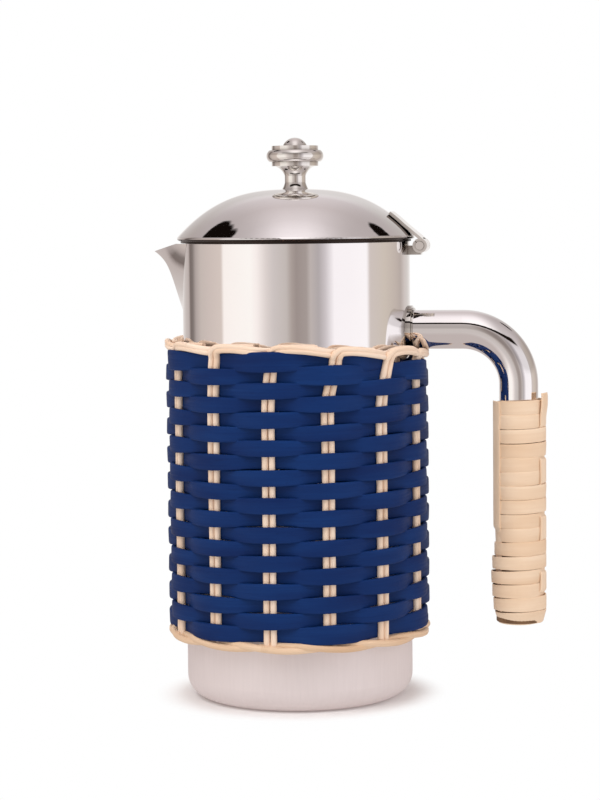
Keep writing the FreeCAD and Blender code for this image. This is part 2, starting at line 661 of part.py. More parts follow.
def pump_foot():
    """Hollow cone with inlet holes, on an upright lip, with a hub for the tube."""
    hub_r = STEM_R + FOOT_HUB_WALL
    top = FOOT_LOW_Z + FOOT_RISE
    lip_top = FOOT_LOW_Z + FOOT_LIP_H
    cone = turned([
        (FOOT_R, FOOT_LOW_Z),
        (FOOT_R, lip_top),
        (hub_r, top),
        (hub_r, top + FOOT_HUB_H / 2),
        (STEM_R, top + FOOT_HUB_H / 2),
        (STEM_R, top - FOOT_HUB_H / 2),
        (hub_r, top - FOOT_HUB_H / 2),
        (hub_r, top - FOOT_WALL),
        (FOOT_R - FOOT_WALL, lip_top - FOOT_WALL),
        (FOOT_R - FOOT_WALL, FOOT_LOW_Z),
    ])
    middle = (FOOT_R + hub_r) / 2
    for i in range(FOOT_HOLES):
        turn = 2 * math.pi * i / FOOT_HOLES
        at = vec(middle * math.cos(turn), middle * math.sin(turn), FOOT_LOW_Z)
        cone = cone.cut(Part.makeCylinder(FOOT_HOLE_R, FOOT_RISE, at))
    return cone


def stem_stop():
    """Collar pressed on the tube, under the basket."""
    high = BASKET_LOW_Z - SEAT_GAP
    return tube(STOP_R, STEM_R, high - STOP_H, high)


def hole_grid(inner, outer, low, high):
    """Small upright holes in rings between two radii."""
    holes = []
    rings = int((outer - inner) // HOLE_RING_STEP) + 1
    for ring in range(rings):
        radius = inner + ring * HOLE_RING_STEP
        count = int(2 * math.pi * radius // HOLE_SPACING)
        for i in range(count):
            turn = 2 * math.pi * (i + 0.5 * (ring % 2)) / count
            at = vec(radius * math.cos(turn), radius * math.sin(turn), low)
            holes.append(Part.makeCylinder(HOLE_R, high - low, at))
    return Part.makeCompound(holes)


def basket():
    """Perforated cup with a rolled rim and a round hole in its floor for the middle tube."""
    inside = BASKET_R - BASKET_WALL
    floor_top = BASKET_LOW_Z + BASKET_WALL
    cup = cylinder(BASKET_R, BASKET_LOW_Z, BASKET_TOP_Z).cut(cylinder(inside, floor_top, BASKET_TOP_Z))
    rim = Part.makeTorus(BASKET_R, BASKET_RIM_R, vec(0, 0, BASKET_TOP_Z))
    rim = rim.cut(cylinder(inside, BASKET_TOP_Z - BASKET_RIM_R, BASKET_TOP_Z + BASKET_RIM_R))
    cup = cup.fuse(rim).cut(cylinder(MIDDLE_TUBE_R, BASKET_LOW_Z, floor_top))
    holes = hole_grid(MIDDLE_TUBE_R + HOLE_MARGIN, inside - HOLE_MARGIN, BASKET_LOW_Z, floor_top)
    return cup.cut(holes)


def basket_middle_tube():
    """Sleeve in the basket that slides over the stem."""
    return tube(MIDDLE_TUBE_R, MIDDLE_TUBE_BORE_R, BASKET_LOW_Z, BASKET_TOP_Z + MIDDLE_TUBE_PROUD)


def basket_cover():
    """Perforated plate that spreads the water, with a raised lip and a ring that centres it."""
    bore = MIDDLE_TUBE_R + SLEEVE_CLEAR
    plate_top = COVER_LOW_Z + COVER_THICK
    plate = tube(COVER_R, bore, COVER_LOW_Z, plate_top)
    lip = tube(COVER_R, COVER_R - COVER_THICK, COVER_LOW_Z, plate_top + COVER_LIP_H)
    guide_r = BASKET_R - BASKET_WALL - COVER_GUIDE_CLEAR
    guide = tube(guide_r, guide_r - COVER_THICK, COVER_LOW_Z - COVER_GUIDE_DEPTH, plate_top)
    holes = hole_grid(bore + HOLE_MARGIN, guide_r - HOLE_MARGIN, COVER_LOW_Z, plate_top)
    return plate.fuse([lip, guide]).cut(holes).removeSplitter()


PIECES = (
    pot_shell, spout, handle_collar, handle_tube, handle_plug,
    grip_wrap, grip_inner_strip, grip_outer_strip,
    sleeve_stakes, sleeve_weaver, sleeve_top_rim, sleeve_bottom_rim,
    hinge_bracket, hinge_pin,
    lid_dome, lid_collar, hinge_leaf, knob, knob_washer, knob_screw,
    pump_tube, pump_foot, stem_stop,
    basket, basket_middle_tube, basket_cover,
)


def main():
    os.makedirs("parts", exist_ok=True)
    for piece in PIECES:
        shape = piece()
        shape.exportStep("parts/" + piece.__name__ + ".step")
        print(piece.__name__, len(shape.Solids), shape.isValid(), round(shape.Volume, 1))


main()
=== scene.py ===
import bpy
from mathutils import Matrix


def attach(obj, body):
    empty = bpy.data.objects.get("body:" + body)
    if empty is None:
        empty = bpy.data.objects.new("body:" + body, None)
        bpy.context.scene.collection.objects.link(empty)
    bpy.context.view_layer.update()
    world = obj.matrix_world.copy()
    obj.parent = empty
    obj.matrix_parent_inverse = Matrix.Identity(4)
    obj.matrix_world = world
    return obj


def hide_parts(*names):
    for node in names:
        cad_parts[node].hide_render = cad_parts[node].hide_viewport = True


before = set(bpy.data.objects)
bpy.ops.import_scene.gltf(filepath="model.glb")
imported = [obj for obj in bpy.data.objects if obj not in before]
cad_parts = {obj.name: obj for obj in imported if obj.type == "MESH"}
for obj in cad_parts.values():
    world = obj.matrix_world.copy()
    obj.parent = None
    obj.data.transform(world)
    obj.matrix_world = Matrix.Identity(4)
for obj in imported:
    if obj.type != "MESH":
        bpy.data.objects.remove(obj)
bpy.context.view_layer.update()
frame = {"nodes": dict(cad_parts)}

import logging
import math
import random
from collections.abc import Callable
from dataclasses import dataclass, field
from enum import Enum

import bpy
from mathutils import Matrix, Vector

# A stovetop coffee percolator: polished steel pot and lid, a woven cane sleeve and a cane-bound grip.
# Metres, +Z up, the pot's axis on Z, the handle along +X and the spout along -X.

log = logging.getLogger("percolator")
MM = 0.001
FULL_TURN = 360.0
WHITE = (1.0, 1.0, 1.0, 1.0)
Piece, Finish, Socket = bpy.types.Object, bpy.types.Material, bpy.types.NodeSocket
Level = Socket | float | tuple  # what a node's input takes: a link, a number or a colour
SMOOTH_ANGLE = 42.0  # cane edges sharper than this stay crisp, degrees


class Slot(Enum):
    """The record's material slots."""

    NATURAL = "natural_cane"
    NAVY = "navy_cane"


class Twist(Enum):
    """How a cane's section turns along its run."""

    UPRIGHT = "Z_UP"
    LEAST = "MINIMUM"


def linear(red: float, green: float, blue: float) -> tuple[float, float, float, float]:
    """A display colour, 0 to 255, as a scene colour.

    Args:
        red: Red level.
        green: Green level.
        blue: Blue level.

    Returns:
        The linear colour with full alpha.
    """
    def one(level: float) -> float:
        """One channel."""
        share = level / 255.0
        return share / 12.92 if share <= 0.04045 else ((share + 0.055) / 1.055) ** 2.4

    return one(red), one(green), one(blue), 1.0


def dimmed(tint: tuple, share: float) -> tuple:
    """A colour with less light in it."""
    return tuple(share * c for c in tint[:3]) + (1.0,)


def clear_selection() -> None:
    """Leaves edit mode and deselects every object."""
    if bpy.context.object is not None and bpy.context.object.mode != "OBJECT":
        bpy.ops.object.mode_set(mode="OBJECT")
    bpy.ops.object.select_all(action="DESELECT")


def edit_all() -> None:
    """Opens the active mesh in edit mode, all selected."""
    bpy.ops.object.mode_set(mode="EDIT")
    bpy.ops.mesh.select_all(action="SELECT")


def close_edit() -> None:
    """Goes back to object mode."""
    bpy.ops.object.mode_set(mode="OBJECT")


def named(name: str) -> Piece:
    """Names the active object and its data."""
    piece = bpy.context.object
    piece.name = piece.data.name = name
    return piece


def take(piece: Piece) -> None:
    """Makes one object the only selected and active one."""
    clear_selection()
    piece.select_set(True)
    bpy.context.view_layer.objects.active = piece


def around(radius: float, azimuth: float, height: float) -> Vector:
    """A point round the pot.

    Args:
        radius: Distance from the pot's axis, in mm.
        azimuth: Angle from the handle, in degrees.
        height: Height above the base, in mm.

    Returns:
        The point, in metres.
    """
    angle = math.radians(azimuth)
    return Vector((radius * math.cos(angle), radius * math.sin(angle), height)) * MM


def angle_from(middle: float, angle: float) -> float:
    """How far an angle lies from another, -180 to 180, in degrees."""
    return (angle - middle + 180.0) % FULL_TURN - 180.0


def ease(value: float, low: float, high: float) -> float:
    """0 below low, 1 above high, and a smooth rise between."""
    share = min(max((value - low) / (high - low), 0.0), 1.0)
    return share * share * (3.0 - 2.0 * share)


class Graph:
    """A material's or world's node tree, built one node at a time."""

    def __init__(self, owner: bpy.types.ID) -> None:
        """Clears the owner's nodes.

        Args:
            owner: A material or a world.
        """
        owner.use_nodes = True
        self.tree = owner.node_tree
        self.tree.nodes.clear()

    def add(self, kind: str, options: dict | None = None, **inputs: Level) -> bpy.types.Node:
        """Adds a node.

        Args:
            kind: The node's type without its ShaderNode prefix.
            options: Node properties by name.
            **inputs: Socket values or links, by socket name with _ for a space, or i0, i1 by place.

        Returns:
            The node.
        """
        node = self.tree.nodes.new("ShaderNode" + kind)
        for name, value in (options or {}).items():
            setattr(node, name, value)
        for name, value in inputs.items():
            numbered = name[0] == "i" and name[1:].isdigit()
            socket = node.inputs[int(name[1:]) if numbered else name.replace("_", " ")]
            if isinstance(value, Socket):
                self.tree.links.new(value, socket)
            else:
                socket.default_value = value
        return node

    def math(self, operation: str, *values: Level) -> Socket:
        """A Math node's result."""
        inputs = {f"i{k}": value for k, value in enumerate(values)}
        return self.add("Math", {"operation": operation}, **inputs).outputs[0]

    def ramp(self, factor: Socket, stops: list[tuple[float, tuple]]) -> Socket:
        """A Color Ramp's colour.

        Args:
            factor: The socket that drives it.
            stops: (position, colour) pairs in rising order.

        Returns:
            The colour socket.
        """
        node = self.add("ValToRGB", i0=factor)
        band = node.color_ramp
        while len(band.elements) > 1:
            band.elements.remove(band.elements[-1])
        band.elements[0].position, band.elements[0].color = stops[0]
        for position, colour in stops[1:]:
            band.elements.new(position).color = colour
        return node.outputs[0]

    def mix(self, factor: Level, first: Level, second: Level, blend: str = "MIX") -> Socket:
        """Mixes two colours.

        Args:
            factor: How much of the second shows.
            first: The first colour.
            second: The second colour.
            blend: The node's blend type.

        Returns:
            The mixed colour.
        """
        node = self.add("Mix", {"data_type": "RGBA", "blend_type": blend})
        for place, value in ((0, factor), (6, first), (7, second)):
            if isinstance(value, Socket):
                self.tree.links.new(value, node.inputs[place])
            else:
                node.inputs[place].default_value = value
        return node.outputs[2]

    def spread(self, value: Socket, low: float, high: float, to_low: float = 0.0, to_high: float = 1.0,
               smooth: bool = False) -> Socket:
        """A Map Range node's result, clamped."""
        options = {"interpolation_type": "SMOOTHSTEP" if smooth else "LINEAR"}
        return self.add("MapRange", options, i0=value, i1=low, i2=high, i3=to_low, i4=to_high).outputs[0]

    def noise(self, vector: Socket, scale: float, detail: float, rough: float = 0.5) -> Socket:
        """A Noise Texture's value."""
        return self.add("TexNoise", Vector=vector, Scale=scale, Detail=detail, Roughness=rough).outputs["Fac"]

    def stretched(self, source: Socket, scale: tuple[float, float, float]) -> Socket:
        """A coordinate scaled along its own axes."""
        return self.add("Mapping", Vector=source, Scale=scale).outputs[0]

    def bump(self, height: Socket, strength: float, distance: float, under: Socket | None = None) -> Socket:
        """Raises a surface by a pattern.

        Args:
            height: The pattern.
            strength: How much of it shows.
            distance: Its full height, in metres.
            under: A normal that it lies on, or None.

        Returns:
            The normal.
        """
        inputs = {"Strength": strength, "Distance": distance, "Height": height}
        if under is not None:
            inputs["Normal"] = under
        return self.add("Bump", **inputs).outputs[0]

    def surface(self, shader: bpy.types.Node, output: str = "OutputMaterial") -> None:
        """Links a shader to the output."""
        self.add(output, Surface=shader.outputs[0])


@dataclass(frozen=True)
class PolishedSteel:
    """Stainless steel, mirror polished, with faint polishing marks and, on the pot, a satin foot."""

    tint: tuple = (0.975, 0.965, 0.96, 1.0)
    roughness: float = 0.025
    smudged: float = 2.4  # handled patches are this many times rougher
    smudge_scale: tuple = (14.0, 14.0, 9.0)
    mark_scale: tuple = (30.0, 30.0, 2600.0)
    ripple_scale: tuple = (22.0, 22.0, 10.0)
    satin_top: float = 0.085  # the satin foot ends here, under the sleeve, in metres
    satin_roughness: float = 0.43
    satin_tint: tuple = (0.97, 0.89, 0.88, 1.0)
    satin_metal: float = 0.5  # brushed steel scatters light, so it isn't all mirror
    grain_scale: tuple = (900.0, 900.0, 60.0)
    # painted shade: the dark of the shadowed gap between lid and pot
    gap_shade: tuple = (0.045, 0.032, 0.028, 1.0)
    # a little darker and warmer tint for the turned pieces than for the other polished ones
    turned_tint: tuple = (0.93, 0.91, 0.87, 1.0)
    # painted shade in the grooves of turned pieces
    groove_shade: tuple = (0.22, 0.19, 0.16, 1.0)
    groove_reach: float = 0.005  # how wide a hollow counts as a groove, in metres

    def material(self, name: str, satin_foot: bool = False, dark_below: float = 0.0,
                 creased: bool = False) -> Finish:
        """Builds the finish.

        Args:
            name: The material's name.
            satin_foot: True where the lower part is satin brushed.
            dark_below: Height under which a rolled edge gets painted shade, standing in for the shadowed gap beneath
                it, in metres, or 0.
            creased: True on turned pieces whose grooves get painted shade, darker where they are enclosed.

        Returns:
            The material.
        """
        made = bpy.data.materials.new(name)
        graph = Graph(made)
        place = graph.add("TexCoord").outputs["Object"]
        smudge = graph.noise(graph.stretched(place, self.smudge_scale), 3.0, 4.0)
        rough = graph.spread(smudge, 0.35, 0.75, self.roughness, self.roughness * self.smudged)
        tint = graph.mix(graph.spread(smudge, 0.3, 0.8), self.tint, dimmed(self.tint, 0.97))
        marks = graph.noise(graph.stretched(place, self.mark_scale), 1.0, 2.0)
        ripple = graph.noise(graph.stretched(place, self.ripple_scale), 1.0, 1.0)
        normal = graph.bump(marks, 0.012, 0.0004, graph.bump(ripple, 0.05, 0.0011))
        shine = 1.0
        if satin_foot:
            height = graph.add("SeparateXYZ", Vector=place).outputs["Z"]
            foot = graph.math("LESS_THAN", height, self.satin_top)
            grain = graph.noise(graph.stretched(place, self.grain_scale), 1.0, 3.0)
            satin = graph.spread(grain, 0.2, 0.8, self.satin_roughness - 0.05, self.satin_roughness + 0.06)
            rough = graph.add("Mix", {"data_type": "FLOAT"}, i0=foot, i2=rough, i3=satin).outputs[0]
            tint = graph.mix(foot, tint, graph.mix(grain, self.satin_tint, dimmed(self.satin_tint, 0.93)))
            normal = graph.bump(graph.math("MULTIPLY", grain, foot), 0.04, 0.0003, normal)
            shine = graph.spread(foot, 0.0, 1.0, 1.0, self.satin_metal)
        if creased:
            # Painted shade: grooves and hollows darken where ambient occlusion finds them enclosed.
            open_to = graph.add("AmbientOcclusion", {"samples": 8}, Distance=self.groove_reach).outputs["AO"]
            turned_tint = graph.mix(graph.spread(smudge, 0.3, 0.7), self.turned_tint, dimmed(self.turned_tint, 0.93))
            tint = graph.mix(graph.spread(open_to, 0.35, 0.95), self.groove_shade, turned_tint)
        if dark_below:
            # Painted shade: the rolled edge darkens below this height, standing in for the shadowed gap under the
            # lid.
            height = graph.add("SeparateXYZ", Vector=place).outputs["Z"]
            gap_shading = graph.spread(height, dark_below - 0.0003, dark_below + 0.0001, 1.0, 0.0, smooth=True)
            tint = graph.mix(gap_shading, tint, self.gap_shade)
        graph.surface(graph.add("BsdfPrincipled", Base_Color=tint, Metallic=shine, Roughness=rough, Normal=normal))
        return made


@dataclass(frozen=True)
class SpunSteel:
    """Stainless steel as it leaves the lathe: fine rings round the axis, for the inside pieces."""

    tint: tuple = (0.80, 0.77, 0.75, 1.0)
    roughness: float = 0.27
    ring_scale: tuple = (2400.0, 1.0, 2400.0)
    # painted shade: the dark of the shadowed gap between lid and pot
    gap_shade: tuple = (0.04, 0.03, 0.026, 1.0)

    def material(self, name: str, dark_above: float = 0.0) -> Finish:
        """Builds the finish.

        Args:
            name: The material's name.
            dark_above: Height above which a hidden shoulder gets painted shade, standing in for the shadowed gap
                beside it, in metres, or 0.

        Returns:
            The material.
        """
        made = bpy.data.materials.new(name)
        graph = Graph(made)
        place = graph.add("TexCoord").outputs["Object"]
        apart = graph.add("SeparateXYZ", Vector=place)
        radius = graph.math("SQRT", graph.math("ADD", graph.math("POWER", apart.outputs["X"], 2.0),
                                               graph.math("POWER", apart.outputs["Y"], 2.0)))
        rings = graph.add("CombineXYZ", X=radius, Z=apart.outputs["Z"]).outputs[0]
        lines = graph.noise(graph.stretched(rings, self.ring_scale), 1.0, 2.0)
        cloud = graph.noise(place, 45.0, 4.0)
        tint = graph.mix(graph.spread(cloud, 0.35, 0.8), self.tint, dimmed(self.tint, 0.86))
        rough = graph.spread(lines, 0.25, 0.75, self.roughness - 0.06, self.roughness + 0.09)
        if dark_above:
            # Painted shade: the collar's shoulder darkens above this height, standing in for the shadowed gap under
            # the lid's edge.
            gap_shading = graph.spread(apart.outputs["Z"], dark_above, dark_above + 0.0002)
            tint = graph.mix(gap_shading, tint, self.gap_shade)
        normal = graph.bump(lines, 0.12, 0.0003)
        graph.surface(graph.add("BsdfPrincipled", Base_Color=tint, Metallic=1.0, Roughness=rough, Normal=normal))
        return made


@dataclass(frozen=True)
class Cane:
    """Split cane: fibres along its length, slow changes of tone, and darker spots where it was split."""

    pale: tuple
    deep: tuple
    fleck: tuple
    roughness: float = 0.5
    fibre_scale: float = 1500.0
    fibre_depth: float = 0.00022  # metres
    tone_scale: tuple = (22.0, 130.0, 130.0)
    fleck_scale: tuple = (170.0, 620.0, 620.0)
    gloss: float = 0.35
    flecks: float = 0.35  # how strongly the darker spots show

    def material(self, name: str) -> Finish:
        """Builds the finish.

        Args:
            name: The material's name.

        Returns:
            The material.
        """
        made = bpy.data.materials.new(name)
        graph = Graph(made)
        run = graph.add("Attribute", {"attribute_name": "fibre"}).outputs["Vector"]
        fibres = graph.noise(graph.stretched(run, (28.0, self.fibre_scale, self.fibre_scale)), 1.0, 4.0, 0.62)
        tone = graph.noise(graph.stretched(run, self.tone_scale), 1.0, 3.0)
        speck = graph.noise(graph.stretched(run, self.fleck_scale), 1.0, 5.0, 0.7)
        colour = graph.mix(graph.spread(tone, 0.3, 0.72), self.pale, self.deep)
        colour = graph.mix(graph.spread(fibres, 0.45, 0.85, 0.0, 0.55), colour, self.deep)
        colour = graph.mix(graph.spread(speck, 0.62, 0.8, 0.0, self.flecks), colour, self.fleck)
        rough = graph.spread(fibres, 0.25, 0.8, self.roughness - 0.08, self.roughness + 0.14)
        normal = graph.bump(fibres, 0.55, self.fibre_depth)
        graph.surface(graph.add("BsdfPrincipled", Base_Color=colour, Roughness=rough, Normal=normal,
                                Specular_IOR_Level=self.gloss))
        return made


@dataclass
class Run:
    """One cane's centre line, with the scale and turn of its section at each point."""

    points: list[Vector] = field(default_factory=list)
    widths: list[float] = field(default_factory=list)
    turns: list[float] = field(default_factory=list)
    closed: bool = False

    def step(self, point: Vector, width: float = 1.0, turn: float = 0.0) -> None:
        """Adds a point to the end of the line.

        Args:
            point: The point, in metres.
            width: Scale of the section there.
            turn: Turn of the section there, in radians.
        """
        self.points.append(point)
        self.widths.append(width)
        self.turns.append(turn)


@dataclass(frozen=True)
class Section:
    """A cane's cross section: half its thickness, half its width and how square its corners are."""

    half_thick: float
    half_wide: float
    squareness: float
    sides: int

    def outline(self) -> list[tuple[float, float]]:
        """Finds the section's outline.

        Returns:
            Its points, in mm.
        """
        power = 2.0 / self.squareness
        found = []
        for k in range(self.sides):
            angle = 2.0 * math.pi * (k + 0.5) / self.sides
            x, y = math.cos(angle), math.sin(angle)
            found.append((math.copysign(abs(x) ** power, x) * self.half_thick,
                          math.copysign(abs(y) ** power, y) * self.half_wide))
        return found


def spline_through(run: Run, count: int) -> Run:
    """A smooth line through a run's few points.

    Args:
        run: The sparse run.
        count: New points for each old span.

    Returns:
        The run with its spans rounded, by the Catmull-Rom rule.
    """
    fine = Run()
    last = len(run.points) - 1
    for k in range(last):
        knots = [run.points[min(max(k + d, 0), last)] for d in (-1, 0, 1, 2)]
        for s in range(count):
            t = s / count
            a, b, c, d = knots
            point = 0.5 * (2.0 * b + (c - a) * t + (2.0 * a - 5.0 * b + 4.0 * c - d) * t * t
                           + (3.0 * b - a - 3.0 * c + d) * t * t * t)
            fine.step(point, run.widths[k] + (run.widths[k + 1] - run.widths[k]) * t,
                      run.turns[k] + (run.turns[k + 1] - run.turns[k]) * t)
    fine.step(run.points[-1], run.widths[-1], run.turns[-1])
    return fine


def lay_canes(name: str, runs: list[Run], section: Section, twist: Twist) -> Piece:
    """Sweeps a section along every run and makes one mesh with a fibre attribute.

    Args:
        name: The piece's name.
        runs: The canes' centre lines, in metres.
        section: The canes' cross section.
        twist: How the section turns along a run.

    Returns:
        The mesh object, at the origin.
    """
    clear_selection()
    bpy.ops.curve.primitive_nurbs_circle_add(location=(0, 0, 0))
    former = bpy.context.object
    former.data.splines.clear()
    outline = section.outline()
    loop = former.data.splines.new("POLY")
    loop.points.add(len(outline) - 1)
    for spot, (x, y) in zip(loop.points, outline):
        spot.co = (x * MM, y * MM, 0.0, 1.0)
    loop.use_cyclic_u = True
    clear_selection()
    bpy.ops.curve.primitive_nurbs_path_add(location=(0, 0, 0))
    piece = bpy.context.object
    cane = piece.data
    cane.splines.clear()
    cane.dimensions, cane.twist_mode, cane.resolution_u = "3D", twist.value, 1
    cane.bevel_mode, cane.bevel_object = "OBJECT", former
    for run in runs:
        line = cane.splines.new("POLY")
        line.points.add(len(run.points) - 1)
        for spot, point, width, turn in zip(line.points, run.points, run.widths, run.turns):
            spot.co, spot.radius, spot.tilt = (*point, 1.0), width, turn
        line.use_cyclic_u, line.use_smooth = run.closed, True
    take(piece)
    bpy.ops.object.convert(target="MESH")
    piece = named(name)
    mark_fibres(piece, runs, outline)
    close_ends(piece)
    bpy.data.objects.remove(former)
    return piece


def mark_fibres(piece: Piece, runs: list[Run], outline: list[tuple[float, float]]) -> None:
    """Gives each point its place along and across its cane, for the fibre pattern.

    Args:
        piece: The swept mesh.
        runs: Its centre lines, in the mesh's order.
        outline: The section's points, in mm.
    """
    shift_along, shift_aside = 0.731, 0.013  # no two canes get the same stretch of the pattern, metres
    places: list[float] = []
    for number, run in enumerate(runs):
        along = shift_along * number
        for k, point in enumerate(run.points):
            if k:
                along += (point - run.points[k - 1]).length
            for x, y in outline:
                places += (along, x * MM * run.widths[k] + shift_aside * number, y * MM * run.widths[k])
    store_fibres(piece, places)


def store_fibres(piece: Piece, places: list[float]) -> None:
    """Stores the points' places in the fibre pattern.

    Args:
        piece: The mesh.
        places: Three numbers for each of its points, in metres.
    """
    mesh = piece.data
    if len(places) != 3 * len(mesh.vertices):
        raise ValueError(f"{piece.name}: {len(mesh.vertices)} points, not {len(places) // 3}")
    mesh.attributes.new("fibre", "FLOAT_VECTOR", "POINT").data.foreach_set("vector", places)


def close_ends(piece: Piece) -> None:
    """Fills open ends, turns every face outwards and smooths the shading.

    Args:
        piece: The swept mesh.
    """
    take(piece)
    edit_all()
    bpy.ops.mesh.fill_holes(sides=0)
    bpy.ops.mesh.select_all(action="SELECT")
    bpy.ops.mesh.normals_make_consistent(inside=False)
    close_edit()
    bpy.ops.object.shade_smooth_by_angle(angle=math.radians(SMOOTH_ANGLE))


def thicken(piece: Piece, wall: float, rounding: float, smooth_angle: float) -> None:
    """Gives the active sheet a wall with rounded edges, and smooth shading.

    Args:
        piece: The sheet, whose faces point outwards.
        wall: Thickness of the wall, inwards, in mm.
        rounding: Width of the rounded edges, in mm.
        smooth_angle: Edges sharper than this stay crisp, in degrees.
    """
    shell = piece.modifiers.new("wall", "SOLIDIFY")
    shell.thickness, shell.offset = wall * MM, -1.0
    bevel = piece.modifiers.new("rounding", "BEVEL")
    bevel.width, bevel.segments, bevel.limit_method = rounding * MM, 2, "ANGLE"
    for name in ("wall", "rounding"):
        bpy.ops.object.modifier_apply(modifier=name)
    bpy.ops.object.shade_smooth_by_angle(angle=math.radians(smooth_angle))


def dress(piece: Piece, finish: Finish, *nodes: str, slot: Slot = Slot.NATURAL, body: str = "pot") -> None:
    """Gives a new piece its finish and its body, and hides the CAD nodes that it replaces.

    Args:
        piece: The finished mesh object.
        finish: Its material.
        *nodes: The CAD nodes that it replaces.
        slot: Not used.
        body: The body that it rides on.
    """
    piece.data.materials.clear()
    piece.data.materials.append(finish)
    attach(piece, body)
    if nodes:
        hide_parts(*nodes)
    log.info("%s: %d faces, on %s", piece.name, len(piece.data.polygons), body)


@dataclass
class Metalwork:
    """The pot, spout, handle, hinge, lid, knob and the coffee works inside, dressed in steel."""

    nodes: dict
    mirror: PolishedSteel = PolishedSteel()
    spun: SpunSteel = SpunSteel()
    edge_middle: float = 0.20205  # painted shade darkens the lid's rolled edge below its middle, metres
    seat_shoulder: float = 0.1999  # the lid's collar gets painted shade above this, metres
    bright: tuple = ("spout", "handle_tube")
    turned: tuple = ("handle_collar", "hinge_bracket", "hinge_leaf", "hinge_pin", "knob")
    plain: tuple = ("handle_plug", "knob_washer", "knob_screw", "pump_tube",
                    "pump_foot", "stem_stop", "basket", "basket_middle_tube", "basket_cover")

    def build(self) -> None:
        """Puts a finish on every steel node."""
        finishes = (
            (self.mirror.material("pot_steel", satin_foot=True), ("pot_shell",)),
            (self.mirror.material("mirror_polished_steel"), self.bright),
            (self.mirror.material("turned_steel", creased=True), self.turned),
            (self.mirror.material("lid_steel", dark_below=self.edge_middle), ("lid_dome",)),
            (self.spun.material("lid_seat_steel", dark_above=self.seat_shoulder), ("lid_collar",)),
            (self.spun.material("spun_inner_steel"), self.plain))
        for finish, names in finishes:
            for name in names:
                for holder in self.nodes[name].material_slots:
                    holder.material = finish
                log.info("%s: %s", name, finish.name)


